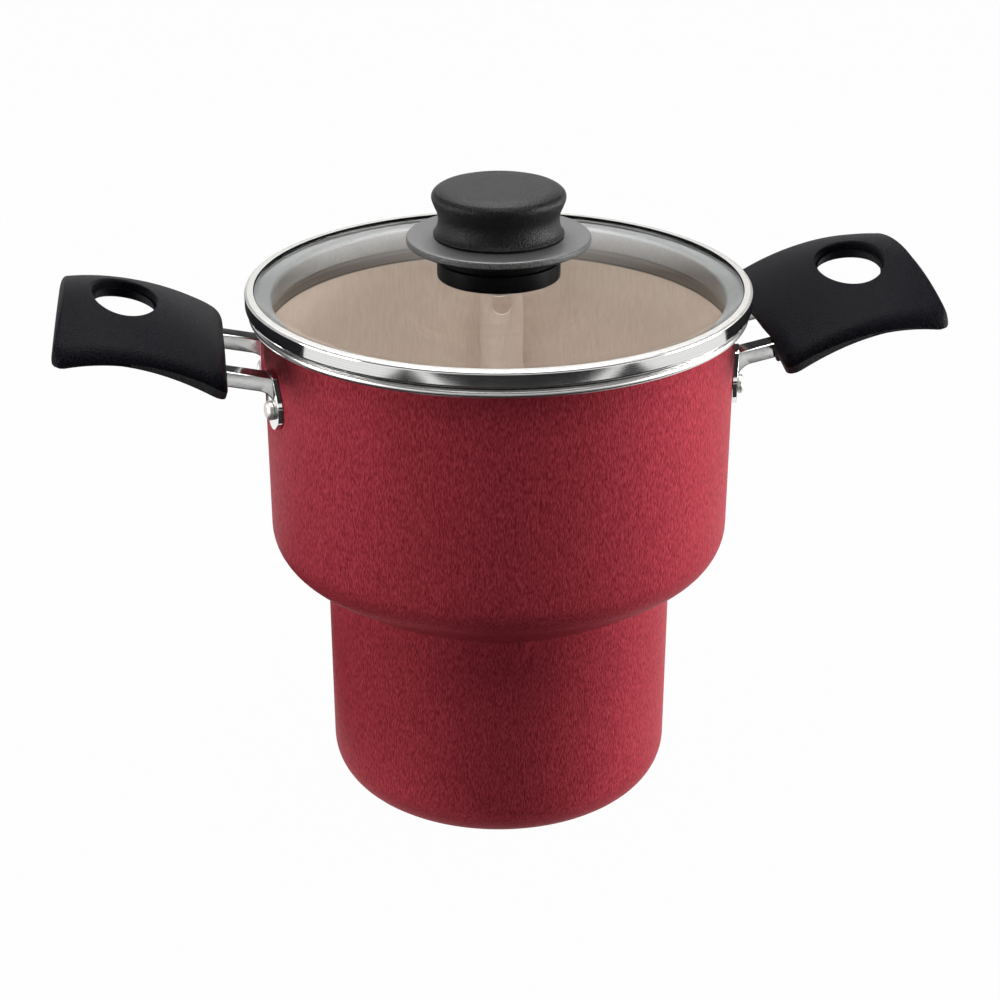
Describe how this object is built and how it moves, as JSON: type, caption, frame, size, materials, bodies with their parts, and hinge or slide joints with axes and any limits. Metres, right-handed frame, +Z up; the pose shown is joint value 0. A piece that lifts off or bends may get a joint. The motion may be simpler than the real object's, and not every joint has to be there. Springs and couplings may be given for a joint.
{
  "type": "couscous steamer",
  "caption": "Stepped metal steamer with a narrow water section, a wide steaming section, a perforated lift-out tray, a glass lid with a knob and two riveted wing handles.",
  "frame": {"origin": "middle of the underside of the base", "axes": "+Z up along the vessel's axis, X through both handles, -Y towards the viewer"},
  "size_m": [0.2928, 0.1708, 0.2186],
  "materials": {
    "red_coat": "metallic red coat on pressed aluminium, beige non-stick coat inside",
    "aluminium": "satin",
    "beige_coat": "non-stick coat",
    "glass": "clear",
    "steel": "bright",
    "black_resin": "fine grain",
    "brass": "plain",
    "seal": "soft"
  },
  "bodies": {
    "vessel": {"pot_body": "red_coat", "left_bracket": "steel", "left_front_rivet": "aluminium", "left_rear_rivet": "aluminium", "left_handle": "black_resin", "left_handle_insert": "brass", "left_handle_screw": "steel", "right_bracket": "steel", "right_front_rivet": "aluminium", "right_rear_rivet": "aluminium", "right_handle": "black_resin", "right_handle_insert": "brass", "right_handle_screw": "steel"},
    "lid": {"lid_glass": "glass", "lid_rim": "steel", "knob": "black_resin", "knob_guard": "black_resin", "knob_collar": "black_resin", "knob_insert": "brass", "knob_seal": "seal", "knob_washer": "steel", "knob_screw": "steel"},
    "tray": {"steam_tray": "aluminium", "tray_strap": "beige_coat", "strap_rivet_inner": "aluminium", "strap_rivet_outer": "aluminium"}
  },
  "joints": [
    {"name": "lid_lift", "type": "slide", "parent": "vessel", "child": "lid", "axis": [0, 0, 1], "range_m": [0, 0.25]},
    {"name": "tray_lift", "type": "slide", "parent": "vessel", "child": "tray", "axis": [0, 0, 1], "range_m": [0, 0.125]}
  ],
  "couplings": [
    {"joint": "tray_lift", "follows": "lid_lift", "ratio": 0.5}
  ]
}
